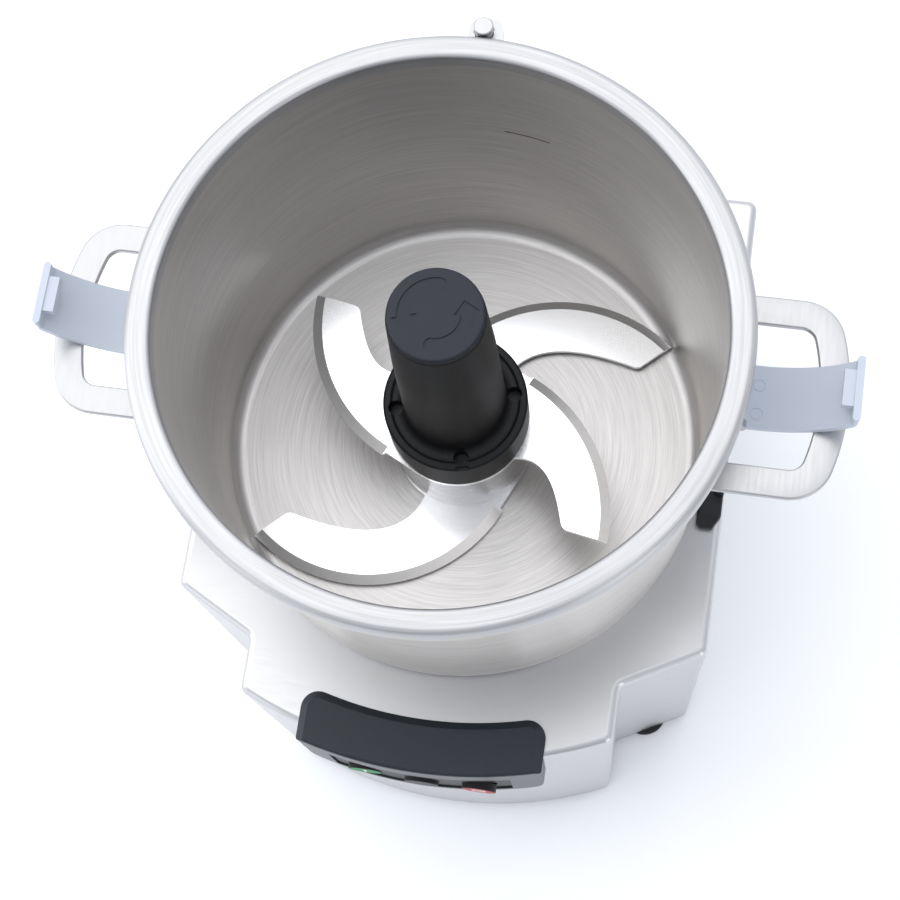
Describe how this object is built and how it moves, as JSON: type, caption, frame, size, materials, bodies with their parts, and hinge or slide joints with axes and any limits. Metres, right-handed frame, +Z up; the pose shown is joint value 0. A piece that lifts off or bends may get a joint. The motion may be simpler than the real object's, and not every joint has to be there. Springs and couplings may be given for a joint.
{
  "type": "food cutter mixer",
  "caption": "Table-top vertical food cutter mixer: motor base with stepped front and control panel, steel bowl with rolled rim, loop handles, lid clips and staggered swept knives.",
  "frame": {"origin": "on the drive axis, in the plane the feet stand on", "axes": "+Z up along the drive axis, -Y towards the control panel at the front, +X towards the operator's right"},
  "size_m": [0.33, 0.3173, 0.3785],
  "materials": {
    "housing_steel": "satin brushed stainless sheet",
    "zinc_plate": "plain galvanised sheet",
    "fastener_steel": "plated screws, bolts and posts",
    "foot_rubber": "matt black rubber",
    "dark_plastic": "fine-grained black plastic, slightly blue",
    "keypad_face": "smooth grey face",
    "start_green": "smooth green cap",
    "pulse_black": "smooth black cap",
    "stop_red": "smooth red cap",
    "switch_plastic": "moulded switch bodies",
    "board_green": "circuit board",
    "motor_aluminium": "machined castings",
    "bearing_steel": "ground bearing rings",
    "seal_rubber": "lip seal",
    "lamination_steel": "stacked laminations",
    "copper_winding": "lacquered copper end turns",
    "capacitor_can": "moulded can",
    "fan_plastic": "moulded fan",
    "plunger_plastic": "smooth pin",
    "gland_plastic": "moulded gland",
    "shaft_steel": "ground shaft",
    "bowl_steel": "satin stainless, brushed round the axis",
    "trim_steel": "satin stainless",
    "clip_plastic": "light blue-grey plastic",
    "knife_steel": "bright ground stainless"
  },
  "bodies": {
    "base": {"base_housing": "housing_steel", "board_standoffs": "fastener_steel", "bottom_plate": "zinc_plate", "bowl_stop_blocks": "dark_plastic", "cable_gland": "gland_plastic", "capacitor_clamp": "zinc_plate", "contact_blocks": "switch_plastic", "control_board": "board_green", "control_panel": "dark_plastic", "gland_nut": "gland_plastic", "keypad_plate": "keypad_face", "lid_switch": "switch_plastic", "lower_bearing": "bearing_steel", "lower_end_shield": "motor_aluminium", "motor_tie_bolts": "fastener_steel", "plate_screws": "fastener_steel", "rubber_feet": "foot_rubber", "run_capacitor": "capacitor_can", "shaft_seal": "seal_rubber", "stator_core": "lamination_steel", "stator_windings": "copper_winding", "switch_bracket": "zinc_plate", "upper_bearing": "bearing_steel", "upper_end_shield": "motor_aluminium"},
    "drive": {"drive_shaft": "shaft_steel", "rotor": "lamination_steel", "cooling_fan": "fan_plastic"},
    "knife_set": {"lower_knives": "knife_steel", "upper_knives": "knife_steel", "knife_spacer": "knife_steel", "clamp_screws": "fastener_steel", "knife_grip": "dark_plastic", "grip_cap": "dark_plastic", "drive_bush": "shaft_steel"},
    "bowl_unit": {"bowl": "bowl_steel", "bowl_lugs": "trim_steel", "right_handle": "trim_steel", "left_handle": "trim_steel", "right_clip_bracket": "trim_steel", "left_clip_bracket": "trim_steel", "right_clip_pin": "trim_steel", "left_clip_pin": "trim_steel", "upper_rod_guide": "trim_steel", "lower_rod_guide": "trim_steel", "rod_spring": "trim_steel"},
    "right_clip": {"right_clip": "clip_plastic"},
    "left_clip": {"left_clip": "clip_plastic"},
    "interlock_rod": {"interlock_rod": "trim_steel"},
    "switch_plunger": {"switch_plunger": "plunger_plastic"},
    "start_button": {"start_button": "start_green"},
    "pulse_button": {"pulse_button": "pulse_black"},
    "stop_button": {"stop_button": "stop_red"}
  },
  "joints": [
    {"name": "drive_spin", "type": "hinge", "parent": "base", "child": "drive", "pos_m": [0, 0, 0.2], "axis": [0, 0, 1], "continuous": true},
    {"name": "bowl_lift", "type": "slide", "parent": "base", "child": "bowl_unit", "axis": [0, 0, 1], "range_m": [0, 0.175]},
    {"name": "knife_lift", "type": "slide", "parent": "drive", "child": "knife_set", "axis": [0, 0, 1], "range_m": [0, 0.175]},
    {"name": "right_clip_hinge", "type": "hinge", "parent": "bowl_unit", "child": "right_clip", "pos_m": [0.118, 0, 0.3325], "axis": [0, -1, 0], "range_deg": [0, 70]},
    {"name": "left_clip_hinge", "type": "hinge", "parent": "bowl_unit", "child": "left_clip", "pos_m": [-0.118, 0, 0.3325], "axis": [0, 1, 0], "range_deg": [0, 70]},
    {"name": "rod_press", "type": "slide", "parent": "bowl_unit", "child": "interlock_rod", "axis": [0, 0, -1], "range_m": [0, 0.004], "stiffness_N_per_m": 300, "springref_m": -0.006, "deforming": ["rod_spring"]},
    {"name": "plunger_press", "type": "slide", "parent": "base", "child": "switch_plunger", "axis": [0, 0, -1], "range_m": [0, 0.004], "stiffness_N_per_m": 60, "springref_m": -0.003},
    {"name": "start_press", "type": "slide", "parent": "base", "child": "start_button", "axis": [0, 1, 0], "range_m": [0, 0.002], "stiffness_N_per_m": 250, "springref_m": -0.001},
    {"name": "pulse_press", "type": "slide", "parent": "base", "child": "pulse_button", "axis": [0, 1, 0], "range_m": [0, 0.002], "stiffness_N_per_m": 250, "springref_m": -0.001},
    {"name": "stop_press", "type": "slide", "parent": "base", "child": "stop_button", "axis": [0, 1, 0], "range_m": [0, 0.002], "stiffness_N_per_m": 250, "springref_m": -0.001}
  ],
  "couplings": [
    {"joint": "knife_lift", "follows": "bowl_lift", "ratio": 1},
    {"joint": "plunger_press", "follows": "rod_press", "ratio": 1}
  ]
}
